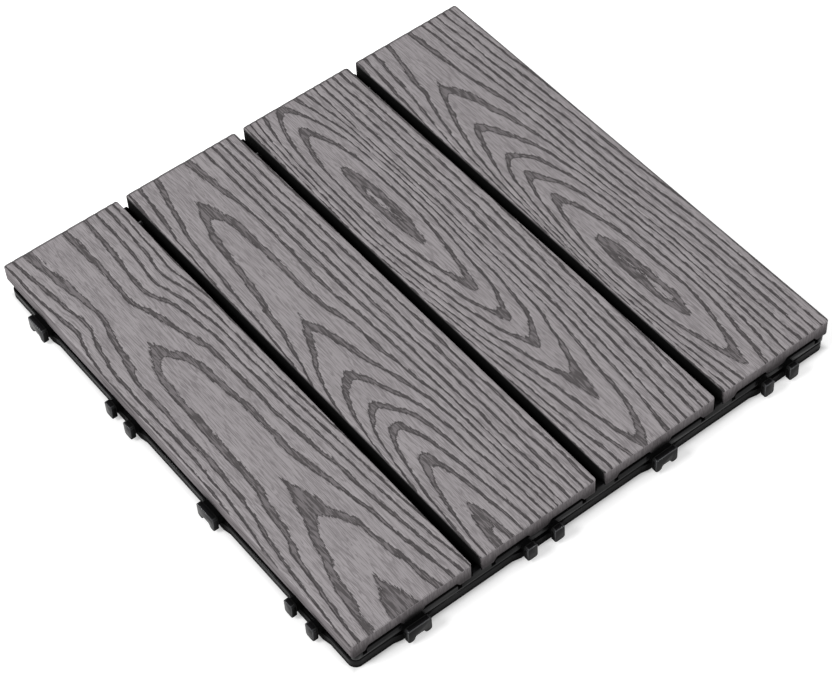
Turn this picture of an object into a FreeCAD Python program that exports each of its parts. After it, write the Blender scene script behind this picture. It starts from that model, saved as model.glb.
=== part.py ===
import FreeCAD, Part
import math
import os

# Interlocking deck tile: four composite slats screwed from below to a moulded plastic base grid.
# Millimetres. Z points up, the tile stands on Z = 0 and the middle of its module is over the origin.
# The slats run along Y. The hooks are on the -X and -Y edges, the loops that take them on +X and +Y.

# Tile layout
TILE_PITCH = 300.0
SLAT_COUNT = 4
SLAT_GAP = 5.25

# Slat section and ends
SLAT_THICKNESS = 10.0
CHANNEL_DEPTH = 2.7
FOOT_WIDTH = 7.3
KEEL_WIDTH = 10.6
CHANNEL_SIDE_RUN = 2.0
CHANNEL_RADIUS = 0.8
TOP_EDGE_RADIUS = 0.9
LOWER_EDGE_CHAMFER = 0.8
SLAT_CORNER_RADIUS = 1.5
SLAT_END_RADIUS = 0.7

# Base grid: rim skirt, walls under the slats and the lattice between them
BASE_HEIGHT = 12.0
HOOK_EDGE_INSET = 0.9
LOOP_EDGE_INSET = 0.2
BASE_CORNER_RADIUS = 4.5
SKIRT_HEIGHT = 5.5
SKIRT_WALL = 1.8
SKIRT_EDGE_CHAMFER = 0.4
SEAT_WALL_INSET = 4.5
SEAT_WALL = 1.8
CELLS_PER_SLAT = 3
RIB_THICKNESS = 1.8
RIB_UNDERSIDE = 3.0
FOOT_PAD_WIDTH = 8.0
RIBS_PER_FOOT_PAD = 4

# End band: the castellated lip under each row of slat ends, proud of the skirt
BAND_HEIGHT = 4.2
BAND_INSET = 0.2
BAND_END_INSET = 1.2
BAND_CORNER_RADIUS = 3.0
BAND_EDGE_CHAMFER = 0.5
NOTCH_WIDTH = 2.5
NOTCH_DEPTH = 3.2
SPACER_CLEARANCE = 0.2
SPACER_RISE = 1.8

# Locating keys that stand in the slat channels, just inside each foot
KEY_WIDTH = 6.0
KEY_RISE = 1.6
KEY_CLEARANCE = 0.2
KEY_SETBACK = 1.0

# Hooks: along each edge a wide hook and a pair of narrow ones take turns, one group to a slat pitch
HOOK_REACH = 5.025
BLOCK_THICKNESS = 3.0
BLOCK_TOP = 11.3
BLOCK_BOTTOM = 2.0
BLOCK_TOP_CHAMFER = 0.7
WIDE_HOOK_WIDTH = 14.0
PRONG_WIDTH = 4.2
PRONG_RADIUS = 1.7
ARCH_HEIGHT = 2.6
ARCH_CHAMFER = 0.8
NARROW_HOOK_WIDTH = 6.3
NARROW_HOOK_SPACING = 16.5
ARM_UNDERSIDE = 4.6
ARM_DROP = 0.6
ARM_SHOULDER = 0.8
ARM_EDGE_CHAMFER = 0.5
ROOT_PAD_THICKNESS = 1.0
ROOT_PAD_MARGIN = 4.5

# Loops on the far edges, one to each hook group
LOOP_HEIGHT = 4.2
LOOP_CLEARANCE = 0.25
LOOP_END_CLEARANCE = 0.4
LOOP_END_WALL = 2.0
LOOP_CORNER_CHAMFER = 1.0

# Screws, and the plates in the lattice that they pass through
SCREW_CELLS_OUT = 3
SHANK_DIAMETER = 3.5
HEAD_DIAMETER = 7.0
HEAD_HEIGHT = 2.4
SCREW_BITE = 7.0
PLATE_LENGTH = 12.0
PLATE_THICKNESS = 3.0
SHANK_CLEARANCE = 0.35
PILOT_CLEARANCE = 0.05

# What follows from the sizes above
SLAT_PITCH = TILE_PITCH / SLAT_COUNT
SLAT_WIDTH = SLAT_PITCH - SLAT_GAP
SLAT_LENGTH = TILE_PITCH - SLAT_GAP
FIELD_HALF = SLAT_LENGTH / 2
HOOK_EDGE = FIELD_HALF - HOOK_EDGE_INSET
LOOP_EDGE = FIELD_HALF - LOOP_EDGE_INSET
SEAT_HALF = FIELD_HALF - SEAT_WALL_INSET
BLOCK_OUTER = FIELD_HALF + HOOK_REACH
BLOCK_INNER = BLOCK_OUTER - BLOCK_THICKNESS
ARM_TOP = BLOCK_TOP - ARM_DROP
BAND_UNDERSIDE = BASE_HEIGHT - BAND_HEIGHT
BAND_OUTER = FIELD_HALF - BAND_INSET
FOOT_INNER = SLAT_WIDTH / 2 - FOOT_WIDTH
RIB_PITCH = SLAT_PITCH / CELLS_PER_SLAT
SCREW_SEAT = BASE_HEIGHT - PLATE_THICKNESS
SLAT_CENTRES = [(i - (SLAT_COUNT - 1) / 2) * SLAT_PITCH for i in range(SLAT_COUNT)]
GAP_CENTRES = [(i - SLAT_COUNT / 2) * SLAT_PITCH for i in range(1, SLAT_COUNT)]
SCREW_ROWS = [side * (SCREW_CELLS_OUT + 0.5) * RIB_PITCH for side in (-1, 1)]

ORIGIN = FreeCAD.Vector(0, 0, 0)
UP = FreeCAD.Vector(0, 0, 1)


def vec(x, y, z=0.0):
    return FreeCAD.Vector(x, y, z)


def box(x0, x1, y0, y1, z0, z1):
    return Part.makeBox(x1 - x0, y1 - y0, z1 - z0, vec(x0, y0, z0))


def cylinder(diameter, x, y, z0, z1):
    return Part.makeCylinder(diameter / 2, z1 - z0, vec(x, y, z0))


def outline(points, radii):
    """A closed wire through the points, with a tangent arc of its own radius at each corner (0 is sharp)."""
    corners = []
    count = len(points)
    for i, here in enumerate(points):
        to_last = (points[i - 1] - here).normalize()
        to_next = (points[(i + 1) % count] - here).normalize()
        if radii[i] == 0:
            corners.append((here, None, here))
            continue
        half = to_last.getAngle(to_next) / 2
        reach = radii[i] / math.tan(half)
        inward = (to_last + to_next).normalize()
        middle = here + inward * (radii[i] / math.sin(half) - radii[i])
        corners.append((here + to_last * reach, middle, here + to_next * reach))
    edges = []
    for i, (start, middle, end) in enumerate(corners):
        if middle is not None:
            edges.append(Part.Arc(start, middle, end).toShape())
        following = corners[(i + 1) % count][0]
        if end.distanceToPoint(following) > 1e-6:
            edges.append(Part.LineSegment(end, following).toShape())
    return Part.Wire(edges)


def chamfered(points, sizes):
    """The points of a closed outline with each corner cut off by its own size (0 keeps the corner)."""
    out = []
    for i, here in enumerate(points):
        if sizes[i] == 0:
            out.append(here)
            continue
        to_last = (points[i - 1] - here).normalize()
        to_next = (points[(i + 1) % len(points)] - here).normalize()
        out += [here + to_last * sizes[i], here + to_next * sizes[i]]
    return out


def polygon(points):
    return Part.makePolygon(points + points[:1])


def rectangle(x0, x1, y0, y1, z, radius=0.0):
    return outline([vec(x0, y0, z), vec(x1, y0, z), vec(x1, y1, z), vec(x0, y1, z)], [radius] * 4)


def prism(wires, height):
    return Part.makeFace(wires, "Part::FaceMakerBullseye").extrude(UP * height)


def edges_at_height(shape, z):
    """The edges of a shape that lie level at one height."""
    return [edge for edge in shape.Edges if abs(edge.BoundBox.ZMin - z) + abs(edge.BoundBox.ZMax - z) < 1e-3]


def slat_section(y):
    """The E-shaped section of a slat: a foot at each side, a keel in the middle, two channels between."""
    seat = BASE_HEIGHT
    roof = seat + CHANNEL_DEPTH
    half = SLAT_WIDTH / 2
    right = [(KEEL_WIDTH / 2, seat, 0.0),
             (KEEL_WIDTH / 2 + CHANNEL_SIDE_RUN, roof, CHANNEL_RADIUS),
             (FOOT_INNER - CHANNEL_SIDE_RUN, roof, CHANNEL_RADIUS),
             (FOOT_INNER, seat, 0.0),
             (half - LOWER_EDGE_CHAMFER, seat, 0.0),
             (half, seat + LOWER_EDGE_CHAMFER, 0.0),
             (half, seat + SLAT_THICKNESS, TOP_EDGE_RADIUS)]
    left = [(-x, z, radius) for x, z, radius in reversed(right)]
    corners = right + left
    return outline([vec(x, y, z) for x, z, r in corners], [r for x, z, r in corners])


def make_slat(centre):
    half_width = SLAT_WIDTH / 2
    half_length = SLAT_LENGTH / 2
    top = BASE_HEIGHT + SLAT_THICKNESS
    board = Part.Face(slat_section(-half_length)).extrude(vec(0, SLAT_LENGTH))
    plan = prism([rectangle(-half_width, half_width, -half_length, half_length, BASE_HEIGHT, SLAT_CORNER_RADIUS)],
                 SLAT_THICKNESS)
    side = outline([vec(-half_width, -half_length, BASE_HEIGHT), vec(-half_width, half_length, BASE_HEIGHT),
                    vec(-half_width, half_length, top), vec(-half_width, -half_length, top)],
                   [0.0, 0.0, SLAT_END_RADIUS, SLAT_END_RADIUS])
    ends = Part.Face(side).extrude(vec(SLAT_WIDTH, 0))
    slat = board.common(plan).common(ends)
    slat.translate(vec(centre, 0))
    pilot = SHANK_DIAMETER + 2 * PILOT_CLEARANCE
    pilot_top = BASE_HEIGHT + SCREW_BITE + PILOT_CLEARANCE
    holes = [cylinder(pilot, centre, y, BASE_HEIGHT, pilot_top) for y in SCREW_ROWS]
    return slat.cut(Part.makeCompound(holes))


def make_screw(x, y):
    """A blunt thread-forming screw driven upwards: head under its plate in the base, shank in the slat."""
    head = HEAD_DIAMETER / 2
    shank = SHANK_DIAMETER / 2
    head_top = SCREW_SEAT
    head_bottom = SCREW_SEAT - HEAD_HEIGHT
    shank_top = BASE_HEIGHT + SCREW_BITE
    corners = [(0, head_bottom), (head, head_bottom), (head, head_top), (shank, head_top), (shank, shank_top),
               (0, shank_top)]
    profile = polygon([vec(r, 0, z) for r, z in corners])
    screw = Part.Face(profile).revolve(ORIGIN, UP, 360)
    screw.translate(vec(x, y))
    return screw


def skirt():
    inner_low = -HOOK_EDGE + SKIRT_WALL
    inner_high = LOOP_EDGE - SKIRT_WALL
    outer_wire = rectangle(-HOOK_EDGE, LOOP_EDGE, -HOOK_EDGE, LOOP_EDGE, 0, BASE_CORNER_RADIUS)
    solid = prism([outer_wire], SKIRT_HEIGHT)
    solid = solid.makeChamfer(SKIRT_EDGE_CHAMFER, edges_at_height(solid, SKIRT_HEIGHT))
    hole = prism([rectangle(inner_low, inner_high, inner_low, inner_high, 0, BASE_CORNER_RADIUS - SKIRT_WALL)],
                 SKIRT_HEIGHT)
    return solid.cut(hole)


def rib_lines():
    reach = int((SEAT_HALF - SEAT_WALL) / RIB_PITCH)
    return [i * RIB_PITCH for i in range(-reach, reach + 1)]


def lattice():
    """One plate on edge between the end walls and the seat walls, pierced by its cells."""
    half = RIB_THICKNESS / 2
    lines = rib_lines()
    end_low = -HOOK_EDGE + SKIRT_WALL
    end_high = LOOP_EDGE - SKIRT_WALL
    across = [-SEAT_HALF + SEAT_WALL - half] + lines + [SEAT_HALF - SEAT_WALL + half]
    along = [end_low + SEAT_WALL - half] + lines + [end_high - SEAT_WALL + half]
    wires = [rectangle(-SEAT_HALF, SEAT_HALF, end_low, end_high, RIB_UNDERSIDE)]
    for x0, x1 in zip(across, across[1:]):
        for y0, y1 in zip(along, along[1:]):
            wires.append(rectangle(x0 + half, x1 - half, y0 + half, y1 - half, RIB_UNDERSIDE))
    return prism(wires, BASE_HEIGHT - RIB_UNDERSIDE)


def skirt_ties():
    """Short ribs that tie the skirt to the seat walls along the two edges beside the slats."""
    half = RIB_THICKNESS / 2
    ties = []
    for y in rib_lines():
        ties.append(box(-HOOK_EDGE + SKIRT_WALL, -SEAT_HALF, y - half, y + half, RIB_UNDERSIDE, SKIRT_HEIGHT))
        ties.append(box(SEAT_HALF, LOOP_EDGE - SKIRT_WALL, y - half, y + half, RIB_UNDERSIDE, SKIRT_HEIGHT))
    return ties


def band_profile(y):
    """Front outline of the end band: notches beside each foot, and a spacer up into each slat gap."""
    reach = FIELD_HALF - BAND_END_INSET
    top = BASE_HEIGHT
    cut = BAND_EDGE_CHAMFER
    steps = []
    for centre in SLAT_CENTRES:
        for x in (centre - FOOT_INNER, centre + FOOT_INNER):
            steps.append((x, NOTCH_WIDTH / 2, top - NOTCH_DEPTH))
    for x in GAP_CENTRES:
        steps.append((x, SLAT_GAP / 2 - SPACER_CLEARANCE, top + SPACER_RISE))
    corners = [(-reach, BAND_UNDERSIDE, 0.0), (reach, BAND_UNDERSIDE, 0.0), (reach, top, cut)]
    for x, half, z in sorted(steps, reverse=True):
        outside = cut if z < top else 0.0
        inside = cut if z > top else 0.0
        corners += [(x + half, top, outside), (x + half, z, inside), (x - half, z, inside), (x - half, top, outside)]
    corners.append((-reach, top, cut))
    return polygon(chamfered([vec(x, y, z) for x, z, size in corners], [size for x, z, size in corners]))


def end_band(side):
    """The band at one end of the slats; side is -1 at the hooks and 1 at the loops."""
    back = HOOK_EDGE - SKIRT_WALL if side < 0 else LOOP_EDGE - SKIRT_WALL
    reach = FIELD_HALF - BAND_END_INSET
    band = Part.Face(band_profile(side * back)).extrude(vec(0, side * (BAND_OUTER - back)))
    plan = prism([rectangle(-reach, reach, -BAND_OUTER, BAND_OUTER, BAND_UNDERSIDE, BAND_CORNER_RADIUS)],
                 BAND_HEIGHT + SPACER_RISE)
    return band.common(plan)


def keys(side):
    """Low blocks on the end wall that stand in the channels just inside each foot."""
    back = (HOOK_EDGE if side < 0 else LOOP_EDGE) - SKIRT_WALL - SEAT_WALL
    front = BAND_OUTER - KEY_SETBACK
    outer = FOOT_INNER - CHANNEL_SIDE_RUN - KEY_CLEARANCE
    low, high = sorted((side * back, side * front))
    blocks = []
    for centre in SLAT_CENTRES:
        for hand in (-1, 1):
            x0, x1 = sorted((centre + hand * outer, centre + hand * (outer - KEY_WIDTH)))
            blocks.append(prism([rectangle(x0, x1, low, high, BAND_UNDERSIDE)], BAND_HEIGHT + KEY_RISE))
    return blocks


def hook_block(front_outline):
    """A block of a hook on the -Y edge, from its front outline back."""
    return Part.Face(front_outline).extrude(vec(0, BLOCK_THICKNESS))


def narrow_outline():
    half = NARROW_HOOK_WIDTH / 2
    cut = BLOCK_TOP_CHAMFER
    corners = [(half, BLOCK_BOTTOM, PRONG_RADIUS), (half, BLOCK_TOP - cut, 0.0), (half - cut, BLOCK_TOP, 0.0)]
    corners += [(-x, z, r) for x, z, r in reversed(corners)]
    return outline([vec(x, -BLOCK_OUTER, z) for x, z, r in corners], [r for x, z, r in corners])


def wide_outline():
    """An inverted U: two round-ended prongs under a bar."""
    half = WIDE_HOOK_WIDTH / 2
    inner = half - PRONG_WIDTH
    arch = BLOCK_BOTTOM + ARCH_HEIGHT
    cut = BLOCK_TOP_CHAMFER
    corners = [(inner - ARCH_CHAMFER, arch, 0.0), (inner, arch - ARCH_CHAMFER, 0.0), (inner, BLOCK_BOTTOM, PRONG_RADIUS),
               (half, BLOCK_BOTTOM, PRONG_RADIUS), (half, BLOCK_TOP - cut, 0.0), (half - cut, BLOCK_TOP, 0.0)]
    corners += [(-x, z, r) for x, z, r in reversed(corners)]
    return outline([vec(x, -BLOCK_OUTER, z) for x, z, r in corners], [r for x, z, r in corners])


def arm(width, root):
    """The arm from a wall of the base, over the skirt, to the middle of a block."""
    half = width / 2 - ARM_SHOULDER
    solid = box(-half, half, -BLOCK_INNER - BLOCK_THICKNESS / 2, -root, ARM_UNDERSIDE, ARM_TOP)
    top_sides = [edge for edge in edges_at_height(solid, ARM_TOP) if edge.BoundBox.XLength < 1e-3]
    return solid.makeChamfer(ARM_EDGE_CHAMFER, top_sides)


def hook(front_outline, width, x, root):
    pieces = [hook_block(front_outline), arm(width, root)]
    for piece in pieces:
        piece.translate(vec(x, 0))
    return pieces


def group_half_width(index):
    if index % 2 == 0:
        return WIDE_HOOK_WIDTH / 2
    return (NARROW_HOOK_SPACING + NARROW_HOOK_WIDTH) / 2


def root_pad(index):
    """The thicker stretch of skirt that carries a hook group, with slanted ends."""
    face = -HOOK_EDGE
    near = group_half_width(index)
    far = near + ROOT_PAD_MARGIN
    front = face - ROOT_PAD_THICKNESS
    back = face + SKIRT_WALL
    points = [vec(-far, back), vec(-far, face), vec(-near, front), vec(near, front), vec(far, face), vec(far, back)]
    return prism([polygon(points)], SKIRT_HEIGHT - SKIRT_EDGE_CHAMFER)


def hook_row(root):
    """The hook groups of the -Y edge; root is how far from the middle their arms start."""
    row = []
    for index, centre in enumerate(SLAT_CENTRES):
        group = [root_pad(index)]
        if index % 2 == 0:
            group += hook(wide_outline(), WIDE_HOOK_WIDTH, 0, root)
        else:
            for x in (-NARROW_HOOK_SPACING / 2, NARROW_HOOK_SPACING / 2):
                group += hook(narrow_outline(), NARROW_HOOK_WIDTH, x, root)
        for piece in group:
            piece.translate(vec(centre, 0))
        row += group
    return row


def loop_row():
    """The loops of the +Y edge. Each bar fits between the blocks and the root pad of the next tile's hooks."""
    bar_inner = TILE_PITCH - BLOCK_INNER + LOOP_CLEARANCE
    bar_outer = TILE_PITCH - HOOK_EDGE - ROOT_PAD_THICKNESS - LOOP_CLEARANCE
    row = []
    for index, centre in enumerate(SLAT_CENTRES):
        slot = group_half_width(index) + LOOP_END_CLEARANCE
        out = slot + LOOP_END_WALL
        cut = LOOP_CORNER_CHAMFER
        points = [vec(-out, LOOP_EDGE), vec(out, LOOP_EDGE), vec(out, bar_outer), vec(-out, bar_outer)]
        block = prism([polygon(chamfered(points, [0.0, 0.0, cut, cut]))], LOOP_HEIGHT)
        loop = block.cut(box(-slot, slot, LOOP_EDGE, bar_inner, 0, LOOP_HEIGHT))
        loop.translate(vec(centre, 0))
        row.append(loop)
    return row


def quarter_turned(shapes):
    """The same row on the next edge clockwise: from -Y to -X, and from +Y to +X."""
    turned = []
    for shape in shapes:
        copy = shape.copy()
        copy.rotate(ORIGIN, UP, -90)
        turned.append(copy)
    return turned


def foot_pads():
    """Square pads under every few crossings of the lattice, down to the ground."""
    half = FOOT_PAD_WIDTH / 2
    spots = [line for i, line in enumerate(rib_lines()) if (i - len(rib_lines()) // 2) % RIBS_PER_FOOT_PAD == 0]
    return [box(x - half, x + half, y - half, y + half, 0, RIB_UNDERSIDE) for x in spots for y in spots]


def screw_plates():
    """Plates across the cells under the slats' keels, each with a clearance hole for its screw."""
    reach = RIB_PITCH / 2
    plates = []
    for x in SLAT_CENTRES:
        for y in SCREW_ROWS:
            plate = box(x - reach, x + reach, y - PLATE_LENGTH / 2, y + PLATE_LENGTH / 2, SCREW_SEAT, BASE_HEIGHT)
            hole = cylinder(SHANK_DIAMETER + 2 * SHANK_CLEARANCE, x, y, SCREW_SEAT, BASE_HEIGHT)
            plates.append(plate.cut(hole))
    return plates


def make_base():
    end_wall_middle = HOOK_EDGE - SKIRT_WALL - SEAT_WALL / 2
    seat_wall_middle = SEAT_HALF - SEAT_WALL / 2
    pieces = [skirt()] + skirt_ties()
    pieces += [end_band(-1), end_band(1)] + keys(-1) + keys(1)
    pieces += hook_row(end_wall_middle) + quarter_turned(hook_row(seat_wall_middle))
    pieces += loop_row() + quarter_turned(loop_row())
    pieces += foot_pads() + screw_plates()
    return lattice().multiFuse(pieces).removeSplitter()


def write(name, shape):
    shape.exportStep(os.path.join("parts", name + ".step"))


os.makedirs("parts", exist_ok=True)
write("base_grid", make_base())
for number, slat_centre in enumerate(SLAT_CENTRES, start=1):
    write("slat_" + str(number), make_slat(slat_centre))
write("slat_screws", Part.makeCompound([make_screw(x, y) for x in SLAT_CENTRES for y in SCREW_ROWS]))
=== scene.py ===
import bpy
import math
import numpy as np
from mathutils import Matrix, Vector


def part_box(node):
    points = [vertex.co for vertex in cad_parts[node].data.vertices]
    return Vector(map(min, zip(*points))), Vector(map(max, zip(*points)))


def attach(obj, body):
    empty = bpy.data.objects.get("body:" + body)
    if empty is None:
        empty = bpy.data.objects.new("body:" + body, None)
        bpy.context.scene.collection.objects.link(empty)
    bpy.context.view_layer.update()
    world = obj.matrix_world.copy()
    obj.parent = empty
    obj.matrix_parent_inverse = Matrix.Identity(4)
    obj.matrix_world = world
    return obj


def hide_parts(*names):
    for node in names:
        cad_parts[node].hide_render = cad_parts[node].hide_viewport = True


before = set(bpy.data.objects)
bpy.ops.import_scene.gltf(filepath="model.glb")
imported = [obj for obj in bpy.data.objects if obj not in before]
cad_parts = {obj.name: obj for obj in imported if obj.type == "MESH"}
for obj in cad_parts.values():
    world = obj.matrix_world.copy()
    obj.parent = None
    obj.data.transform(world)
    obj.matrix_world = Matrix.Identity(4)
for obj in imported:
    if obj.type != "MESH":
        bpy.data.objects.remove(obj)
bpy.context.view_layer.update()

# Metres for geometry; MM turns a maker's millimetres into them.
MM = 0.001

# Round edges and corners of a slat's top, as in its solid, and the lip under its top sheet
SLAT_EDGE_RADIUS = 0.9
SLAT_END_RADIUS = 0.7
SLAT_CORNER_RADIUS = 1.5
TOP_SHEET_LIP = 0.1

# Painted shade on the rims of a slat's top, at the tile's two far sides and at a gap: how far in it reaches,
# the width it fades over, and the far rim's greatest share. NO_RIM is an inset without a rim, and a slat's
# side past OUTER_EDGE is the tile's own side
FAR_RIM = 1.4
FAR_RIM_FADE = 0.4
FAR_RIM_SHARE = 0.85
GAP_RIM = 0.5
GAP_RIM_FADE = 0.2
NO_RIM = 9.0
OUTER_EDGE = 140.0

# Embossed top of a slat: mesh cells, groove depth, and the share of the ring spacing that is groove, at the
# heart and in the straight lines; each kind of splinter along a groove has a width, a length and a reach
CELLS_ACROSS = 156
CELLS_ALONG = 392
GROOVE_DEPTH = 0.38
GROOVE_SHARE = 0.30
GROOVE_SOFTNESS = 0.05
STRAIGHT_SHARE = 0.27
# How far into a groove its rim is painted darker, as shade from the groove's walls
GROOVE_SHADED_RIM = 0.5
WIDEST_PITCH = 30.0
SPLINTERS = ((0.5, 4.0, 2.2), (1.2, 8.0, 2.4), (3.0, 16.0, 2.4))
FIBRE_DEPTH = 0.03
FIBRE_WIDTH = 1.1
FIBRE_LENGTH = 14.0
RELIEF_FADE = 0.6

# Waves of the grain: share of a ring spacing, width and length. They are calmer near the heart
WAVES = ((0.12, 12.0, 50.0), (0.09, 5.0, 20.0), (0.05, 2.0, 8.0))
CALM_WITHIN = 16.0
LEAST_WAVES = 0.3

# Seeded noise: random values each way, and how far out from the tile's centre their grid starts
NOISE_VALUES = 96
NOISE_REACH = 200.0

# A figure's curves are averaged over this far either way, from this many samples
EASE_REACH = 4.0
EASE_SAMPLES = 5

# Slat screws, which stand head down, two to a slat
SLAT_COUNT = 4
SLAT_PITCH = 75.0
SCREW_ROW = 87.5
HEAD_BOTTOM = 6.6
HEAD_SIDES = 36
HEAD_RADIUS = 3.5
HEAD_HEIGHT = 2.4
RECESS_RADIUS = 1.5
RECESS_LOBES = 6
RECESS_LOBE_REACH = 0.13
RECESS_DEPTH = 1.3
CORE_RADIUS = 1.35
SHANK_LENGTH = 10.0
TIP_LENGTH = 0.8
TIP_TAPER = 0.25
THREAD_RADIUS = 1.75
THREAD_PITCH = 1.3
THREAD_START = 3.6
THREAD_TURNS = 6
THREAD_STEPS = 24
RIDGE_SIZE = 0.45
HEAD_EDGE = 0.15
HEAD_EDGE_ANGLE = 60

# Moulded edges of the base, and where its hooks stand out past the skirt
MOULD_EDGE = 0.25
HOOK_EDGE = 0.42
HOOKS_START = 148.9

# Angles between faces, in degrees: sharp from the first, on the base's edges and the screws; shaded smooth up
# to the second, on the slats and the base; and as good as flat up to the third
SHARP_ANGLE = 35
SMOOTH_ANGLE = 40
FLAT_ANGLE = 0.5

# Points this near each other are one, in a copy of a solid and in the thread; a face's centre this near its
# place is on it
WELD = 0.002
THREAD_WELD = 0.001
NEAR = 0.01

# How far around a point the shading looks for neighbouring pieces
JOINT_REACH = 14.0

# Studio lamps: name, azimuth and elevation in degrees, distance and size in metres, watts
LAMPS = (("left_softbox", -95, 48, 3.0, 0.8, 46), ("front_glint", 25, 31, 2.2, 0.25, 7),
         ("back_glint", -124, 21, 2.2, 0.25, 7))
ROOM_LIGHT = 0.57

# Camera: angles in degrees, then its target, distance, focal length and sensor width in millimetres
CAMERA_AZIMUTH = -34.80
CAMERA_ELEVATION = 50.92
CAMERA_ROLL = -4.12
CAMERA_TARGET = (-5.01, -11.06, 0.0)
CAMERA_DISTANCE = 1243.6
CAMERA_LENS = 106.8
CAMERA_SENSOR = 36.0

# Studio floor: its size in metres, how far below the tile it lies, where its painted shadow under the tile
# turns pale and where it starts to glow, out from the centre. The glow grows with X plus Y, from its least to
# its most, which paints the shade beside the tile's -X and -Y sides darker than beside its far sides
FLOOR_SIZE = 8.0
FLOOR_DROP = 0.2
FLOOR_DARK_TO = 140.0
FLOOR_PALE_FROM = 146.0
GLOW_FROM = 144.0
GLOW_TO = 150.0
GLOW_RISE_FROM = -100.0
GLOW_RISE_TO = 150.0
GLOW_LEAST = 0.42
GLOW_MOST = 0.72


def linear(hex_colour):
    """An sRGB hex colour as linear RGBA."""
    channels = [int(hex_colour[i:i + 2], 16) / 255 for i in (1, 3, 5)]
    return [c / 12.92 if c <= 0.04045 else ((c + 0.055) / 1.055) ** 2.4 for c in channels] + [1.0]


def add(tree, kind, settings=(), inputs=()):
    """Adds a shader node with its settings, and its inputs as values or as links from other sockets."""
    node = tree.nodes.new("ShaderNode" + kind)
    for name, value in dict(settings).items():
        setattr(node, name, value)
    for key, value in dict(inputs).items():
        if isinstance(value, bpy.types.NodeSocket):
            tree.links.new(value, node.inputs[key])
        else:
            node.inputs[key].default_value = value
    return node


def new_material(name):
    """An empty node material and its tree."""
    material = bpy.data.materials.new(name)
    material.use_nodes = True
    tree = material.node_tree
    tree.nodes.clear()
    return material, tree


def finish_material(tree, shader):
    """Puts a shader on the material's surface."""
    output = tree.nodes.new("ShaderNodeOutputMaterial")
    tree.links.new(shader.outputs[0], output.inputs["Surface"])


def stretched_noise(tree, size_x, size_y, size_z, detail=2.0, roughness=0.5):
    """Noise in the part's own frame, from 0 to 1, whose blobs are about the given sizes in millimetres."""
    place = add(tree, "TexCoord")
    scale = [1 / (size * MM) for size in (size_x, size_y, size_z)]
    mapping = add(tree, "Mapping", inputs={"Vector": place.outputs["Object"], "Scale": scale})
    return add(tree, "TexNoise", inputs={"Vector": mapping.outputs[0], "Scale": 1.0, "Detail": detail,
                                         "Roughness": roughness}).outputs["Fac"]


def openness(tree, closed, clear):
    """0 where neighbouring pieces close in on the surface, 1 where it lies open."""
    open_sky = add(tree, "AmbientOcclusion", {"samples": 8}, {"Distance": JOINT_REACH * MM})
    return add(tree, "MapRange", {"interpolation_type": "SMOOTHSTEP"},
               {"Value": open_sky.outputs["AO"], "From Min": closed, "From Max": clear}).outputs[0]


def scaled(tree, socket, factor):
    """A value times a number or another value."""
    return add(tree, "Math", {"operation": "MULTIPLY"}, {0: socket, 1: factor}).outputs[0]


def summed(tree, first, second):
    """The sum of two values."""
    return add(tree, "Math", {"operation": "ADD"}, {0: first, 1: second}).outputs[0]


def larger(tree, first, second):
    """The larger of two values."""
    return add(tree, "Math", {"operation": "MAXIMUM"}, {0: first, 1: second}).outputs[0]


def distance_from(tree, socket, level):
    """How far a value lies from a level, up or down."""
    return add(tree, "Math", {"operation": "ABSOLUTE"}, {0: summed(tree, socket, -level)}).outputs[0]


def ranged(tree, socket, low, high, at_low, at_high):
    """at_low at and below low, at_high at and above high, and even between them."""
    return add(tree, "MapRange", inputs={"Value": socket, "From Min": low, "From Max": high,
                                         "To Min": at_low, "To Max": at_high}).outputs[0]


def attribute(tree, name):
    """A value that the mesh carries at its points."""
    return add(tree, "Attribute", {"attribute_name": name}).outputs["Fac"]


def object_place(tree):
    """X, Y and Z of the point in the part's own frame, in metres."""
    place = add(tree, "TexCoord")
    return add(tree, "SeparateXYZ", inputs={0: place.outputs["Object"]}).outputs


def stepped(tree, socket, low, high):
    """0 below low, 1 above high and smooth between them."""
    return add(tree, "MapRange", {"interpolation_type": "SMOOTHSTEP"},
               {"Value": socket, "From Min": low, "From Max": high}).outputs[0]


def blended(tree, factor, first, second):
    """The first colour where the factor is 0 and the second where it is 1."""
    mix = add(tree, "Mix", {"data_type": "RGBA"}, {"Factor": factor, "A": first, "B": second})
    return mix.outputs["Result"]


def groove_depth_in(tree):
    """How far inside a groove of the figure a point lies, in millimetres, with jagged splintered edges."""
    pitch = attribute(tree, "pitch")
    half = attribute(tree, "half")
    to_ring = summed(tree, attribute(tree, "ring"), 0.5 + GROOVE_SHARE / 2)
    part = add(tree, "Math", {"operation": "FRACT"}, {0: to_ring}).outputs[0]
    away = distance_from(tree, part, 0.5)
    inside = add(tree, "Math", {"operation": "SUBTRACT"}, {0: half, 1: away}).outputs[0]
    depth_in = scaled(tree, inside, pitch)
    raggedness = ranged(tree, scaled(tree, half, pitch), 0.5, 3.0, 0.55, 1.6)
    for width, length, reach in SPLINTERS:
        noise = stretched_noise(tree, width, length, length, 3.0, 0.65)
        swing = scaled(tree, summed(tree, noise, -0.5), reach)
        depth_in = summed(tree, depth_in, scaled(tree, swing, raggedness))
    return depth_in


def hairlines(tree):
    """Thin wavy darker lines in the light wood, under a millimetre apart, along the slat."""
    noise = stretched_noise(tree, 1.5, 32.0, 32.0)
    from_line = distance_from(tree, distance_from(tree, noise, 0.5), 0.06)
    return stepped(tree, from_line, 0.035, 0.012)


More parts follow.
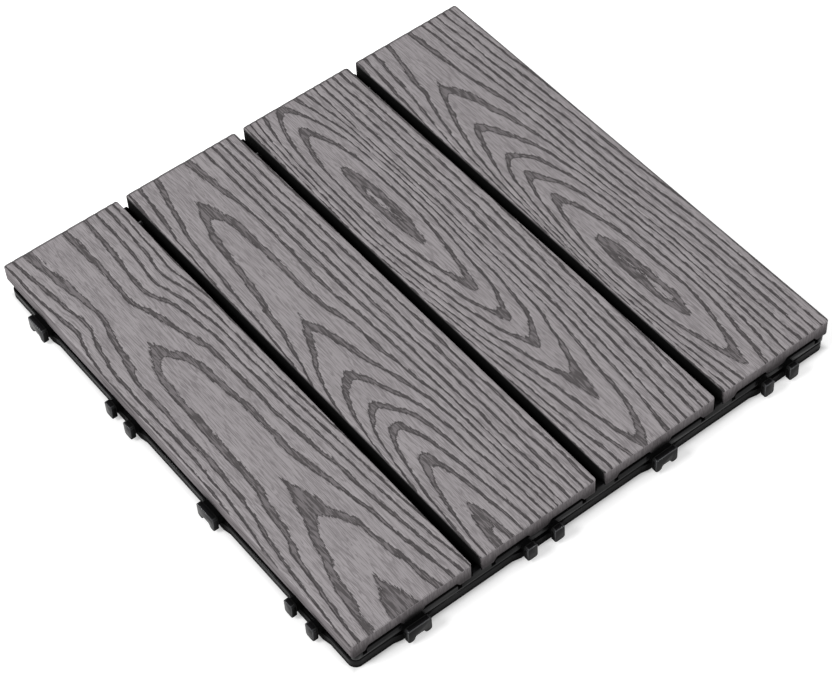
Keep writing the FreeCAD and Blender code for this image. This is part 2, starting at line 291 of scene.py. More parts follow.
def embossed_composite(name):
    """Wood-plastic composite, extruded and then embossed by a heated roller.

    The roller presses the grain's grooves in and leaves them darker, and their rims carry painted shade; fine
    pores and hairlines run along the fibres of the light wood between them. The edges at far sides and gaps
    carry painted shade.
    """
    material, tree = new_material(name)
    depth_in = groove_depth_in(tree)
    groove = stepped(tree, depth_in, -0.12, 0.08)
    floor = stepped(tree, depth_in, GROOVE_SHADED_RIM, GROOVE_SHADED_RIM * 1.8)
    pores = stretched_noise(tree, 0.6, 15.0, 15.0, 3.0, 0.7)
    pore = stepped(tree, pores, 0.53, 0.60)
    cloud = stretched_noise(tree, 7.0, 40.0, 40.0)
    light = blended(tree, cloud, linear("#8d888a"), linear("#999496"))
    lined = blended(tree, scaled(tree, hairlines(tree), 0.7), light, linear("#6a6567"))
    pored = blended(tree, scaled(tree, pore, 0.55), lined, linear("#686365"))
    streak = stretched_noise(tree, 0.9, 9.0, 9.0, 3.0, 0.6)
    bed = blended(tree, stepped(tree, streak, 0.42, 0.58), linear("#413d3e"), linear("#6b6668"))
    # Painted shade: a groove's rim is darker than its bed
    groove_colour = blended(tree, floor, linear("#353132"), bed)
    figured = blended(tree, groove, pored, groove_colour)
    # Painted shade: the rims at the tile's far sides turn dark grey, and the rims at a gap near black
    rimmed = blended(tree, attribute(tree, "far_rim_painted_shade"), figured, linear("#3c393a"))
    colour = blended(tree, attribute(tree, "gap_rim_painted_shade"), rimmed, linear("#0c0b0b"))
    height = scaled(tree, summed(tree, scaled(tree, pore, 0.4), groove), -1.0)
    bump = add(tree, "Bump", inputs={"Height": height, "Strength": 0.6, "Distance": 0.12 * MM})
    shader = add(tree, "BsdfPrincipled", inputs={"Base Color": colour, "Roughness": 0.72,
                                                 "Normal": bump.outputs[0]})
    finish_material(tree, shader)
    return material


def smooth_composite(name):
    """The same composite, plain from die and saw: streaked, matt, with painted shade low down and in joints.
    """
    material, tree = new_material(name)
    surface = add(tree, "NewGeometry")
    facing = add(tree, "SeparateXYZ", inputs={0: surface.outputs["True Normal"]}).outputs
    is_end = distance_from(tree, facing[1], 0.0)
    looks_down = stepped(tree, scaled(tree, facing[2], -1.0), 0.85, 0.98)
    along = stretched_noise(tree, 0.8, 14.0, 0.8, 3.0, 0.6)
    smooth_face = blended(tree, along, linear("#767173"), linear("#8e898b"))
    line = distance_from(tree, stretched_noise(tree, 2.6, 70.0, 2.6), 0.5)
    lined = scaled(tree, stepped(tree, line, 0.05, 0.02), 0.7)
    die_face = blended(tree, lined, smooth_face, linear("#4f4b4c"))
    sawn = stretched_noise(tree, 0.5, 5.0, 5.0, 3.0, 0.65)
    saw_face = blended(tree, stepped(tree, sawn, 0.4, 0.6), linear("#6c6769"), linear("#868183"))
    plain = blended(tree, is_end, die_face, saw_face)
    # Painted shade: darker towards the bottom of the slat, more so on its sawn ends
    low = ranged(tree, object_place(tree)[2], 14.0 * MM, 22.0 * MM, 1.0, 0.0)
    painted_low_shade = scaled(tree, low, ranged(tree, is_end, 0.0, 1.0, 0.3, 0.85))
    low_shaded_face = blended(tree, painted_low_shade, plain, linear("#2b2829"))
    # Painted shade: near black in the joints, except on faces that look down
    clear = openness(tree, 0.70, 0.95)
    shade = blended(tree, looks_down, linear("#040404"), linear("#4a4748"))
    colour = blended(tree, clear, shade, low_shaded_face)
    grit = stretched_noise(tree, 0.5, 0.5, 0.5, 2.0, 0.6)
    bump = add(tree, "Bump", inputs={"Height": grit, "Strength": 0.3, "Distance": 0.05 * MM})
    shader = add(tree, "BsdfPrincipled", inputs={"Base Color": colour,
                                                 "Roughness": ranged(tree, clear, 0.0, 1.0, 1.0, 0.75),
                                                 "Normal": bump.outputs[0], "Specular IOR Level": 0.1})
    finish_material(tree, shader)
    return material


def moulded_polypropylene(name, darkest, lightest, reflection, closed, open_enough):
    """Black injection-moulded polypropylene: satin where it lies open; in the joints dull, and painted near
    black as shade.

    Closed and open_enough are the openness at which it is quite dull and quite satin.
    """
    material, tree = new_material(name)
    cloud = stretched_noise(tree, 18.0, 18.0, 18.0)
    black = blended(tree, cloud, linear(darkest), linear(lightest))
    clear = openness(tree, closed, open_enough)
    # Painted shade: near black where neighbouring pieces close in
    colour = blended(tree, clear, linear("#040404"), black)
    grain = stretched_noise(tree, 0.35, 0.35, 0.35, 2.0, 0.6)
    bump = add(tree, "Bump", inputs={"Height": grain, "Strength": 0.25, "Distance": 0.03 * MM})
    shader = add(tree, "BsdfPrincipled", inputs={"Base Color": colour,
                                                 "Roughness": ranged(tree, clear, 0.0, 1.0, 1.0, 0.22),
                                                 "Normal": bump.outputs[0], "IOR": 1.49,
                                                 "Specular IOR Level": reflection})
    finish_material(tree, shader)
    return material


def zinc_plated_steel(name):
    """Cold-headed steel screw, zinc plated: bright and slightly cloudy."""
    material, tree = new_material(name)
    cloud = stretched_noise(tree, 1.5, 1.5, 1.5)
    shader = add(tree, "BsdfPrincipled", inputs={"Base Color": linear("#b9bcc0"), "Metallic": 1.0,
                                                 "Roughness": ranged(tree, cloud, 0.0, 1.0, 0.22, 0.42)})
    finish_material(tree, shader)
    return material


def only_none():
    """Leaves edit mode and deselects everything."""
    if bpy.context.object and bpy.context.object.mode != "OBJECT":
        bpy.ops.object.mode_set(mode="OBJECT")
    bpy.ops.object.select_all(action="DESELECT")


def only(obj):
    """Selects one object alone and makes it active."""
    only_none()
    obj.select_set(True)
    bpy.context.view_layer.objects.active = obj


def edit_all():
    """Opens the active object for editing, with all of its mesh selected."""
    bpy.ops.object.mode_set(mode="EDIT")
    bpy.ops.mesh.select_all(action="SELECT")


def end_edit():
    """Closes the active object's editing."""
    bpy.ops.object.mode_set(mode="OBJECT")


def face_outward():
    """Turns the active mesh's faces outward, all at once."""
    bpy.ops.mesh.select_all(action="SELECT")
    bpy.ops.mesh.normals_make_consistent(inside=False)


def joined(pieces):
    """All the pieces as one object, the first."""
    only(pieces[0])
    for piece in pieces[1:]:
        piece.select_set(True)
    bpy.ops.object.join()
    return pieces[0]


def bevelled(obj, name, width, segments, method, angle, clamp=True, material=-1):
    """Rounds the edges that a bevel method picks, on the active object."""
    bevel = obj.modifiers.new(name, "BEVEL")
    bevel.width = width * MM
    bevel.segments = segments
    bevel.limit_method = method
    bevel.angle_limit = math.radians(angle)
    bevel.use_clamp_overlap = clamp
    bevel.material = material
    bpy.ops.object.modifier_apply(modifier=bevel.name)


def merged_copy(node, name):
    """A copy of a CAD node's mesh with its loose triangles merged, free of its parent."""
    copy = node.copy()
    copy.data = node.data.copy()
    copy.name = name
    copy.data.name = name
    copy.parent = None
    bpy.context.collection.objects.link(copy)
    only(copy)
    edit_all()
    bpy.ops.mesh.remove_doubles(threshold=WELD * MM)
    bpy.ops.mesh.customdata_custom_splitnormals_clear()
    end_edit()
    return copy


def soft_noise(x, y, cell_x, cell_y, seed):
    """Smooth noise from -1 to 1 over millimetres, on a grid of seeded random values."""
    grid = np.random.default_rng(seed).uniform(-1, 1, (NOISE_VALUES, NOISE_VALUES))
    u = (x + NOISE_REACH) / cell_x
    v = (y + NOISE_REACH) / cell_y
    i = np.floor(u).astype(int)
    j = np.floor(v).astype(int)
    fu = u - i
    fv = v - j
    fu = fu * fu * (3 - 2 * fu)
    fv = fv * fv * (3 - 2 * fv)
    i %= NOISE_VALUES - 1
    j %= NOISE_VALUES - 1
    low = grid[i, j] * (1 - fu) + grid[i + 1, j] * fu
    high = grid[i, j + 1] * (1 - fu) + grid[i + 1, j + 1] * fu
    return low * (1 - fv) + high * fv


def eased(y, knots):
    """A curve through (y, value) knots: straight between them and eased at each."""
    ys, values = zip(*sorted(knots))
    steps = np.linspace(-EASE_REACH, EASE_REACH, EASE_SAMPLES)
    return sum(np.interp(y + step, ys, values) for step in steps) / len(steps)


class Side:
    """One side of a slat's grain: where its straight lines start, the ring there, and how even the rings are.

    Evenness 1 spaces the rings between the heart and the straight lines evenly; less leaves the heart calmer.
    Groove is the share of the ring spacing that is groove, away from the heart.
    """

    def __init__(self, start, ring_at_start, evenness, spacing, groove):
        self.start = start
        self.ring_at_start = ring_at_start
        self.evenness = evenness
        self.spacing = spacing
        self.groove = groove

    def rings(self, x, y, heart, at_heart, rounding):
        """Ring height on this side: it climbs from the heart, then evenly through the straight lines."""
        span = np.abs(self.start - heart)
        away = np.abs(x - heart)
        full = np.sqrt(span ** 2 + rounding ** 2) - rounding
        share = np.minimum((np.sqrt(away ** 2 + rounding ** 2) - rounding) / full, 1.0)
        at_start = eased(y, self.ring_at_start)
        even = eased(y, self.evenness)
        inner = at_heart + (at_start - at_heart) * (even * share + (1 - even) * share ** 3)
        return inner + np.maximum(away - span, 0) / self.spacing


class Figure:
    """The grain of one slat: where its heart runs, how the rings climb along it, how round its arches are."""

    def __init__(self, heart, climb, rounding, left, right, seed):
        self.heart = heart
        self.climb = climb
        self.rounding = rounding
        self.left = left
        self.right = right
        self.seed = seed

    def rings(self, x, y):
        """Ring height at a place on the slat's top, in ring spacings; each whole number ends a groove."""
        heart = eased(y, self.heart)
        at_heart = eased(y, self.climb)
        rounding = eased(y, self.rounding)
        left = self.left.rings(x, y, heart, at_heart, rounding)
        right = self.right.rings(x, y, heart, at_heart, rounding)
        waves = sum(size * soft_noise(x, y, width, length, self.seed + order)
                    for order, (size, width, length) in enumerate(WAVES))
        calm = np.clip(np.abs(x - heart) / CALM_WITHIN, LEAST_WAVES, 1.0)
        return np.where(x < heart, left, right) + waves * calm

    def half_share(self, x, y):
        """Half of the ring spacing that is groove.

        It turns to the side's own share 4 to 9 mm from the heart, and to the straight lines' at 14 to 26 mm.
        """
        heart = eased(y, self.heart)
        away = np.abs(x - heart)
        beside = np.where(x < heart, self.left.groove, self.right.groove)
        share = GROOVE_SHARE + (beside - GROOVE_SHARE) * np.clip((away - 4) / 5, 0, 1)
        straight = np.clip((away - 14) / 12, 0, 1)
        return (share + (STRAIGHT_SHARE - share) * straight) / 2

    def pitch(self, x, y):
        """Millimetres from one ring to the next, across the grain, at a place on the slat's top."""
        step = 0.3
        slope_x = (self.rings(x + step, y) - self.rings(x - step, y)) / (2 * step)
        slope_y = (self.rings(x, y + step) - self.rings(x, y - step)) / (2 * step)
        return 1 / np.maximum(np.hypot(slope_x, slope_y), 1 / WIDEST_PITCH)


def grain_of_slat_1():
    """Tall arches that open towards the hooks, under a waist in the first third."""
    return Figure(
        heart=[(147, -120), (85, -118.5), (58, -118.5), (-55, -116), (-147, -116)],
        climb=[(147, 0.3), (100, 0.12), (58, 0.0), (43, -0.3), (37, -0.60), (0, -0.80), (-48, -0.9),
               (-55, -1.0), (-82, -1.3), (-89, -1.55), (-120, -2.0), (-147, -2.25)],
        rounding=[(147, 1.5), (-50, 1.5), (-70, 2.2), (-147, 2.2)],
        left=Side(-147, [(147, 3.0), (85, 3.5), (50, 2.7), (0, 3.1), (-45, 2.9), (-95, 1.6), (-147, 0.8)],
                  [(147, 0.36), (110, 0.6), (85, 0.9), (70, 0.56), (50, 0.48), (0, 0.47), (-45, 0.42),
                   (-95, 0.44), (-147, 0.32)], 4.8, 0.35),
        right=Side(-80, [(147, 4.9), (90, 5.5), (60, 4.4), (0, 4.3), (-45, 3.6), (-100, 2.7), (-147, 1.5)],
                   [(147, 0.46), (110, 0.6), (85, 0.78), (70, 0.47), (50, 0.37), (-80, 0.35), (-115, 0.42),
                    (-147, 0.36)], 4.6, 0.28),
        seed=11)


def grain_of_slat_2():
    """One long arch, then short ones closer and closer together; the right side runs straight."""
    return Figure(
        heart=[(147, -45), (118, -46), (18, -51), (-44, -56), (-147, -57)],
        climb=[(147, 0.4), (118, 0.0), (103, -0.3), (96, -0.52), (60, -0.72), (18, -1.0), (8, -1.38),
               (-20, -2.0), (-30, -2.4), (-44, -3.0), (-51, -3.35), (-59, -4.0), (-66, -4.35), (-81, -5.0),
               (-93, -5.3), (-100, -5.5), (-119, -6.0), (-135, -6.28), (-147, -6.35)],
        rounding=[(147, 1.5), (10, 1.5), (-35, 3.0), (-95, 3.2), (-147, 3.0)],
        left=Side(-72, [(147, 3.3), (80, 2.3), (40, 1.7), (0, 1.0), (-20, -0.4), (-50, -1.4), (-80, -2.4),
                        (-100, -3.4), (-147, -4.4)], [(60, 0.53), (-80, 0.45)], 4.5, 0.26),
        right=Side(-22.5, [(147, 1.9), (20, 1.8), (-40, 1.5), (-147, 1.3)],
                   [(60, 0.56), (-80, 0.7)], 4.9, 0.27),
        seed=23)


def grain_of_slat_3():
    """A dark eye in the upper half, with round tongues below it that point towards the hooks."""
    return Figure(
        heart=[(147, 26), (60, 26.5), (-20, 27), (-110, 29), (-147, 28)],
        climb=[(147, 2.0), (127, 1.0), (118, 0.7), (90, 0.0), (70, -0.28), (40, -0.28), (20, 0.0),
               (-9, 0.7), (-22, 1.0), (-36, 1.7), (-48, 2.0), (-59, 2.7), (-69, 3.0), (-91, 3.7),
               (-114, 4.0), (-135, 4.6), (-147, 5.0)],
        rounding=[(147, 4.0), (90, 5.0), (-60, 5.0), (-147, 3.5)],
        left=Side(3, [(147, 6.3), (110, 5.9), (50, 4.85), (20, 5.1), (-30, 6.9), (-80, 8.2), (-120, 8.8)],
                  [(147, 0.6), (110, 0.5), (80, 0.62), (40, 0.64), (0, 0.75)], 3.4, 0.26),
        right=Side(49, [(147, 4.9), (20, 4.85), (-30, 5.3), (-60, 5.6), (-100, 6.1), (-147, 6.8)],
                   [(147, 0.7), (125, 0.7), (105, 0.45), (75, 0.5), (40, 0.54), (10, 0.7), (-147, 0.74)],
                   4.6, 0.24),
        seed=37)


def grain_of_slat_4():
    """Arches stacked above a long eye; the left side is tight and the right side runs straight."""
    return Figure(
        heart=[(147, 106), (101, 102), (68, 98.5), (20, 97), (-30, 96), (-90, 97.5), (-147, 97)],
        climb=[(147, 5.4), (101, 5.0), (95, 4.7), (68, 4.0), (61, 3.7), (42, 3.0), (37, 2.7), (27, 2.0),
               (17, 1.7), (6, 1.0), (-3, 0.68), (-30, 0.0), (-48, -0.32), (-88, -0.32), (-102, 0.0),
               (-129, 0.7), (-142, 1.0), (-147, 1.15)],
        rounding=[(147, 2.5), (85, 2.5), (65, 4.5), (25, 4.0), (0, 3.0), (-40, 4.5), (-90, 4.5),
                  (-147, 3.0)],
        left=Side(78, [(147, 8.9), (100, 8.4), (70, 7.6), (50, 7.0), (0, 6.3), (-60, 4.5), (-147, 5.0)],
                  [(60, 0.68), (0, 0.55), (-30, 0.46), (-60, 0.42), (-100, 0.5), (-147, 0.6)], 3.4, 0.27),
        right=Side(124, [(147, 6.9), (50, 5.95), (0, 5.7), (-60, 4.8), (-147, 5.0)],
                   [(60, 0.66), (0, 0.52), (-20, 0.48), (-60, 0.6), (-147, 0.7)], 4.7, 0.26),
        seed=53)


FIGURES = {"slat_1": grain_of_slat_1(), "slat_2": grain_of_slat_2(), "slat_3": grain_of_slat_3(),
           "slat_4": grain_of_slat_4()}


def rolled(arc, radius):
    """How far in and how far down a point lies that is arc millimetres up from the foot of a round edge."""
    turn = np.clip(arc / radius, 0, math.pi / 2)
    inset = radius * (1 - np.cos(turn)) + np.maximum(arc - radius * math.pi / 2, 0)
    drop = radius * (1 - np.sin(turn))
    return inset, drop


def outline_places(place, low, high):
    """Where the points of a unit grid lie on a slat's top: x, y, how far down, and how far in from its sides.

    The grid's rims roll down over the round edges, and its corners are drawn in to the slat's round corners.
    """
    half_width = (high[0] - low[0]) / 2
    half_length = (high[1] - low[1]) / 2
    extra_x = SLAT_EDGE_RADIUS * (math.pi / 2 - 1)
    extra_y = SLAT_END_RADIUS * (math.pi / 2 - 1)
    arc_x = (half_width + extra_x) * (1 - np.abs(place[:, 0]) * 2)
    arc_y = (half_length + extra_y) * (1 - np.abs(place[:, 1]) * 2)
    inset_x, drop_x = rolled(arc_x, SLAT_EDGE_RADIUS)
    inset_y, drop_y = rolled(arc_y, SLAT_END_RADIUS)
    corner_x = np.clip(1 - inset_x / SLAT_CORNER_RADIUS, 0, 1)
    corner_y = np.clip(1 - inset_y / SLAT_CORNER_RADIUS, 0, 1)
    long_way = np.maximum(np.hypot(corner_x, corner_y), 1e-9)
    squeeze = np.where((corner_x > 0) & (corner_y > 0), np.maximum(corner_x, corner_y) / long_way, 1.0)
    round_x = np.where(corner_x > 0, SLAT_CORNER_RADIUS * (1 - corner_x * squeeze), inset_x)
    round_y = np.where(corner_y > 0, SLAT_CORNER_RADIUS * (1 - corner_y * squeeze), inset_y)
    x = (low[0] + high[0]) / 2 + np.sign(place[:, 0]) * (half_width - round_x)
    y = (low[1] + high[1]) / 2 + np.sign(place[:, 1]) * (half_length - round_y)
    return x, y, np.maximum(drop_x, drop_y), inset_x, inset_y


def painted_rim_shades(place, low, high, inset_x, inset_y):
    """The painted shade on the rims at the tile's far sides and at a slat's gap, from 0 to 1 at each point.
    """
    on_far_side = (place[:, 0] > 0) & (high[0] > OUTER_EDGE)
    far_inset = np.minimum(np.where(on_far_side, inset_x, NO_RIM), np.where(place[:, 1] > 0, inset_y, NO_RIM))
    at_gap = (place[:, 0] < 0) & (low[0] > -OUTER_EDGE)
    gap_inset = np.where(at_gap, inset_x, NO_RIM)
    return {"far_rim_painted_shade": np.clip((FAR_RIM - far_inset) / FAR_RIM_FADE, 0, FAR_RIM_SHARE),
            "gap_rim_painted_shade": np.clip((GAP_RIM - gap_inset) / GAP_RIM_FADE, 0, 1)}


def relief(x, y, ring, half, seed):
    """How deep the roller pressed each point: the grooves with soft walls, and faint fibres all over."""
    away = np.abs((ring + 0.5 + GROOVE_SHARE / 2) % 1.0 - 0.5)
    depth = np.clip((half + GROOVE_SOFTNESS - away) / (2 * GROOVE_SOFTNESS), 0, 1)
    groove = depth * depth * (3 - 2 * depth) * GROOVE_DEPTH
    return groove + FIBRE_DEPTH * (1 + soft_noise(x, y, FIBRE_WIDTH, FIBRE_LENGTH, seed))


def top_sheet(name, low, high, figure):
    """The embossed top of a slat, with its rolled edges, as an open sheet over the slat's outline."""
    only_none()
    bpy.ops.mesh.primitive_grid_add(x_subdivisions=CELLS_ACROSS, y_subdivisions=CELLS_ALONG, size=1.0)
    sheet = bpy.context.object
    sheet.name = name
    place = np.empty(len(sheet.data.vertices) * 3)
    sheet.data.vertices.foreach_get("co", place)
    place = place.reshape(-1, 3)
    x, y, drop, inset_x, inset_y = outline_places(place, low, high)
    ring = figure.rings(x, y)
    half = figure.half_share(x, y)
    fade = np.clip(1 - drop / RELIEF_FADE, 0, 1)
    z = high[2] - drop - relief(x, y, ring, half, figure.seed + 5) * fade
    sheet.data.vertices.foreach_set("co", (np.column_stack([x, y, z]) * MM).ravel())
    values_by_name = {"ring": ring, "pitch": figure.pitch(x, y), "half": half}
    values_by_name.update(painted_rim_shades(place, low, high, inset_x, inset_y))
    for attribute_name, values in values_by_name.items():
        kept = sheet.data.attributes.new(attribute_name, "FLOAT", "POINT")
        kept.data.foreach_set("value", values)
    sheet.data.update()
    return sheet


def dress_slat(node_name, figure, top_material, body_material):
    """A slat with an embossed top: its solid, cut off under the rolled edge and closed by the sheet."""
    low, high = [np.array(corner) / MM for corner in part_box(node_name)]
    body = merged_copy(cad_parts[node_name], node_name + "_board")
    edit_all()
    cut = (high[2] - SLAT_EDGE_RADIUS - TOP_SHEET_LIP) * MM
    bpy.ops.mesh.bisect(plane_co=(0, 0, cut), plane_no=(0, 0, 1), clear_outer=True, clear_inner=False,
                        use_fill=False)
    end_edit()
    body.data.materials.clear()
    body.data.materials.append(body_material)
    sheet = top_sheet(node_name + "_sheet", low, high, figure)
    sheet.data.materials.append(top_material)
    joined([body, sheet])
    bpy.ops.object.mode_set(mode="EDIT")
    bpy.ops.mesh.select_mode(type="EDGE")
    bpy.ops.mesh.select_all(action="DESELECT")
    bpy.ops.mesh.select_non_manifold(extend=False, use_wire=False, use_boundary=True, use_multi_face=False,
                                     use_non_contiguous=False, use_verts=False)
    bpy.ops.mesh.bridge_edge_loops()
    face_outward()
    end_edit()
    bpy.ops.object.shade_smooth_by_angle(angle=math.radians(SMOOTH_ANGLE))
    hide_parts(node_name)
    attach(body, "root")


def weigh_hook_edges(base):
    """Gives a bevel weight to the sharp edges of the hooks, which stand out past the skirt on two sides."""
    bpy.ops.object.mode_set(mode="EDIT")
    bpy.ops.mesh.select_mode(type="EDGE")
    bpy.ops.mesh.select_all(action="DESELECT")
    bpy.ops.mesh.edges_select_sharp(sharpness=math.radians(SHARP_ANGLE))
    end_edit()
    mesh = base.data
    weight = mesh.attributes.new("bevel_weight_edge", "FLOAT", "EDGE")
    for edge in mesh.edges:
        ends = [mesh.vertices[i].co / MM for i in edge.vertices]
        outside = all(min(end.x, end.y) < -HOOKS_START for end in ends)
        weight.data[edge.index].value = 1.0 if edge.select and outside else 0.0


def dress_base(material, edge_material):
    """The base moulding with its small moulded edge rounding, whose bevel faces are lighter as a painted
    highlight.
    """
    base = merged_copy(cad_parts["base_grid"], "base_moulding")
    base.data.materials.clear()
    base.data.materials.append(material)
    base.data.materials.append(edge_material)
    edit_all()
    bpy.ops.mesh.dissolve_limited(angle_limit=math.radians(FLAT_ANGLE))
    end_edit()
    weigh_hook_edges(base)
    bevelled(base, "hook edges", HOOK_EDGE, 3, "WEIGHT", SHARP_ANGLE, clamp=False, material=1)
    bevelled(base, "other edges", MOULD_EDGE, 2, "ANGLE", SHARP_ANGLE, material=1)
    bpy.ops.object.shade_smooth_by_angle(angle=math.radians(SMOOTH_ANGLE))
    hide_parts("base_grid")
    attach(base, "root")


def grow_face(obj, height, steps):
    """Takes the level face at a height over the origin and, step by step, insets it, extrudes it or both.

    A step is an inset and a rise, in millimetres. With both, the inset is the share by which the risen face
    shrinks, for a blunt tip.
    """
    only(obj)
    bpy.ops.object.mode_set(mode="EDIT")
    bpy.ops.mesh.select_mode(type="FACE")
    bpy.ops.mesh.select_all(action="DESELECT")
    end_edit()
    for face in obj.data.polygons:
        centre = face.center / MM
        face.select = abs(centre.z - height) < NEAR and math.hypot(centre.x, centre.y) < NEAR
    bpy.ops.object.mode_set(mode="EDIT")
    for inset, rise in steps:
        if rise:
            bpy.ops.mesh.extrude_region_move(TRANSFORM_OT_translate={"value": (0, 0, rise * MM)})
        if inset and rise:
            bpy.ops.transform.resize(value=(1 - inset, 1 - inset, 1), center_override=(0, 0, 0))
        elif inset:
            bpy.ops.mesh.inset(thickness=inset * MM, depth=0)
    end_edit()


def screw_thread():
    """The thread as a wedge-shaped ridge wound up the core of the screw."""
    only_none()
    bpy.ops.mesh.primitive_circle_add(vertices=3, radius=RIDGE_SIZE * MM)
    thread = bpy.context.object
    edit_all()
    bpy.ops.transform.rotate(value=math.radians(90), orient_axis="Z", center_override=(0, 0, 0))
    bpy.ops.transform.rotate(value=math.radians(90), orient_axis="X", center_override=(0, 0, 0))
    end_edit()
    reach = max(vertex.co.x for vertex in thread.data.vertices)
    for vertex in thread.data.vertices:
        vertex.co.x += THREAD_RADIUS * MM - reach
        vertex.co.z += THREAD_START * MM
    wind = thread.modifiers.new("wind", "SCREW")
    wind.screw_offset = THREAD_PITCH * MM
    wind.iterations = THREAD_TURNS
    wind.steps = THREAD_STEPS
    wind.render_steps = THREAD_STEPS
    wind.use_merge_vertices = False
    bpy.ops.object.modifier_apply(modifier=wind.name)
    edit_all()
    bpy.ops.mesh.remove_doubles(threshold=THREAD_WELD * MM)
    bpy.ops.mesh.fill_holes(sides=4)
    face_outward()
    end_edit()
    return thread


def one_screw(material):
    """A blunt thread-forming screw, head down, with a star recess in its head, upright over the origin."""
    only_none()
    bpy.ops.mesh.primitive_cylinder_add(vertices=HEAD_SIDES, radius=HEAD_RADIUS * MM, depth=HEAD_HEIGHT * MM,
                                        location=(0, 0, HEAD_HEIGHT / 2 * MM))
    screw = bpy.context.object
    bpy.ops.object.transform_apply(location=True, rotation=True, scale=True)
    grow_face(screw, 0.0, [(HEAD_RADIUS - RECESS_RADIUS, 0.0)])
    for vertex in screw.data.vertices:
        if math.hypot(vertex.co.x, vertex.co.y) < (RECESS_RADIUS + HEAD_RADIUS) / 2 * MM:
            turn = math.atan2(vertex.co.y, vertex.co.x)
            vertex.co.xy *= 1 + RECESS_LOBE_REACH * math.cos(RECESS_LOBES * turn)
    grow_face(screw, 0.0, [(0.0, RECESS_DEPTH)])
    grow_face(screw, HEAD_HEIGHT, [(HEAD_RADIUS - CORE_RADIUS, 0.0), (0.0, SHANK_LENGTH - TIP_LENGTH),
                                   (TIP_TAPER, TIP_LENGTH)])
    bevelled(screw, "head edge", HEAD_EDGE, 2, "ANGLE", HEAD_EDGE_ANGLE)
    joined([screw, screw_thread()])
    screw.data.materials.clear()
    screw.data.materials.append(material)
    bpy.ops.object.shade_smooth_by_angle(angle=math.radians(SHARP_ANGLE))
    return screw


def dress_screws(material):
    """All the slat screws as one piece, each on the place of a solid of the CAD node."""
    first = one_screw(material)
    copies = []
    for slat in range(SLAT_COUNT):
        for row in (-1, 1):
            copy = first.copy()
            copy.data = first.data.copy()
            bpy.context.collection.objects.link(copy)
            x = (slat - (SLAT_COUNT - 1) / 2) * SLAT_PITCH
            copy.location = (x * MM, row * SCREW_ROW * MM, HEAD_BOTTOM * MM)
            copies.append(copy)
    bpy.data.objects.remove(first)
    screws = joined(copies)
    screws.name = "slat_screw_set"
    bpy.ops.object.transform_apply(location=True, rotation=True, scale=True)
    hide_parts("slat_screws")
    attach(screws, "root")


def floor_material(name):
    """Plain white studio board, which shows as white paper, keeps the tile's shadow and is painted dark under
    it as shade.
    """
    material, tree = new_material(name)
    x, y = object_place(tree)[:2]
    outermost = larger(tree, distance_from(tree, x, 0.0), distance_from(tree, y, 0.0))
    # Painted shadow: the board is dark where the tile covers it
    outside_painted_shadow = stepped(tree, outermost, FLOOR_DARK_TO * MM, FLOOR_PALE_FROM * MM)
    board_colour = blended(tree, outside_painted_shadow, linear("#161616"), linear("#e4e4e4"))
    board = add(tree, "BsdfDiffuse", inputs={"Color": board_colour})
    # Painted shade: the glow is weaker towards the tile's -X and -Y sides
    level = ranged(tree, summed(tree, x, y), GLOW_RISE_FROM * MM, GLOW_RISE_TO * MM, GLOW_LEAST, GLOW_MOST)
    strength = scaled(tree, stepped(tree, outermost, GLOW_FROM * MM, GLOW_TO * MM), level)
    glow = add(tree, "Emission", inputs={"Color": linear("#ffffff"), "Strength": strength})
    both = add(tree, "AddShader", inputs={0: board.outputs[0], 1: glow.outputs[0]})
    path = add(tree, "LightPath").outputs
    seen = larger(tree, path["Is Camera Ray"], path["Is Glossy Ray"])
    mixed = add(tree, "MixShader", inputs={0: seen, 1: board.outputs[0], 2: both.outputs[0]})
    finish_material(tree, mixed)
    return material


def make_floor():
    """The studio floor, a hair below the tile's feet."""
    only_none()
    bpy.ops.mesh.primitive_plane_add(size=FLOOR_SIZE, location=(0, 0, -FLOOR_DROP * MM))
    floor = bpy.context.object
    floor.name = "studio_floor"
    bpy.ops.object.transform_apply(location=True, rotation=True, scale=True)
    floor.data.materials.append(floor_material("white_studio_board"))


def make_world():
    """Soft even room light, seen as white by the camera and in reflections."""
    world = bpy.data.worlds.new("studio_room")
    bpy.context.scene.world = world
    world.use_nodes = True
    tree = world.node_tree
    tree.nodes.clear()
    room = add(tree, "Background", inputs={"Color": linear("#ffffff"), "Strength": ROOM_LIGHT})
    seen = add(tree, "Background", inputs={"Color": linear("#ffffff"), "Strength": 1.0})
    path = add(tree, "LightPath").outputs
    mirrored = larger(tree, path["Is Glossy Ray"], path["Is Transmission Ray"])
    either = larger(tree, path["Is Camera Ray"], mirrored)
    mixed = add(tree, "MixShader", inputs={0: either, 1: room.outputs[0], 2: seen.outputs[0]})
    output = tree.nodes.new("ShaderNodeOutputWorld")
    tree.links.new(mixed.outputs[0], output.inputs["Surface"])


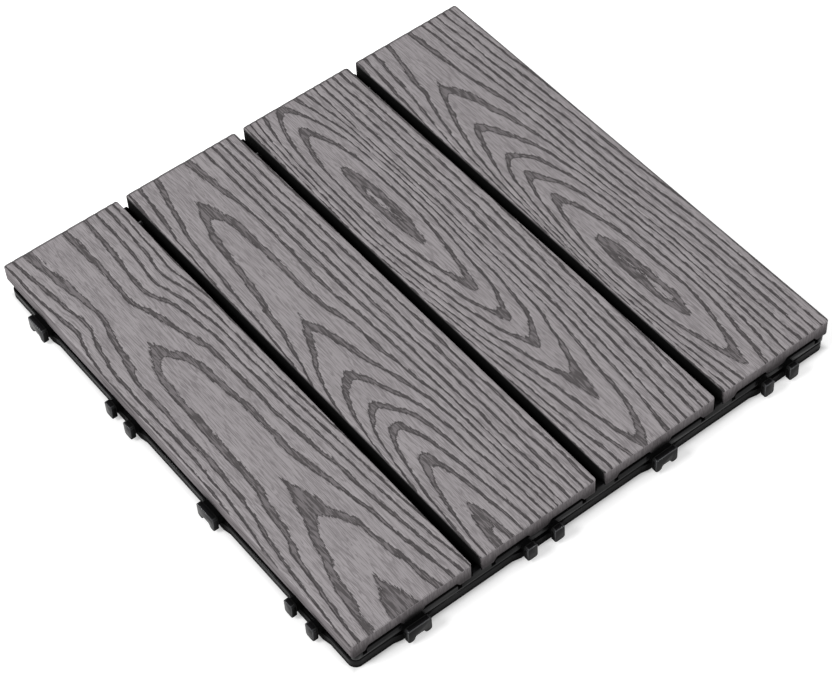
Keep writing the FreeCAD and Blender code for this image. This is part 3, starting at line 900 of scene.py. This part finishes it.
def softbox(name, azimuth, elevation, distance, size, watts):
    """A square area lamp aimed at the tile; azimuth 0 is in front of the -Y edge, positive towards +X."""
    a = math.radians(azimuth)
    e = math.radians(elevation)
    place = Vector((math.sin(a) * math.cos(e), -math.cos(a) * math.cos(e), math.sin(e))) * distance
    lamp = bpy.data.lights.new(name, "AREA")
    lamp.size = size
    lamp.energy = watts
    holder = bpy.data.objects.new(name, lamp)
    bpy.context.collection.objects.link(holder)
    holder.location = place
    holder.rotation_euler = place.to_track_quat("Z", "Y").to_euler()


def make_camera():
    """A long lens from above the corner between the two hook edges, fitted to the photograph's angle."""
    azimuth = math.radians(CAMERA_AZIMUTH)
    elevation = math.radians(CAMERA_ELEVATION)
    roll = math.radians(CAMERA_ROLL)
    back = Vector((math.sin(azimuth) * math.cos(elevation), -math.cos(azimuth) * math.cos(elevation),
                   math.sin(elevation)))
    side = Vector((0, 0, 1)).cross(back).normalized()
    top = back.cross(side)
    right = math.cos(roll) * side + math.sin(roll) * top
    up = -math.sin(roll) * side + math.cos(roll) * top
    place = Vector(CAMERA_TARGET) * MM + back * CAMERA_DISTANCE * MM
    data = bpy.data.cameras.new("photo_camera")
    data.sensor_width = CAMERA_SENSOR
    data.lens = CAMERA_LENS
    camera = bpy.data.objects.new("photo_camera", data)
    bpy.context.collection.objects.link(camera)
    turn = Matrix((right, up, back)).transposed().to_4x4()
    camera.matrix_world = Matrix.Translation(place) @ turn
    bpy.context.scene.camera = camera


board_top = embossed_composite("embossed_wood_plastic_composite")
board_body = smooth_composite("plain_wood_plastic_composite")
black_plastic = moulded_polypropylene("moulded_black_polypropylene", "#080809", "#0e0e0f",
                                      0.07, 0.42, 0.74)
# Bevel faces of the base: a lighter colour as a painted highlight, with a stronger real reflection
edge_highlight_plastic = moulded_polypropylene("black_polypropylene_painted_edge_highlight", "#222325", "#38393c",
                                       0.35, 0.62, 0.88)
screw_steel = zinc_plated_steel("zinc_plated_steel")

for slat_name, slat_figure in FIGURES.items():
    dress_slat(slat_name, slat_figure, board_top, board_body)
dress_base(black_plastic, edge_highlight_plastic)
dress_screws(screw_steel)

make_floor()
make_world()
for lamp in LAMPS:
    softbox(*lamp)
make_camera()
bpy.context.scene.view_settings.view_transform = "Standard"
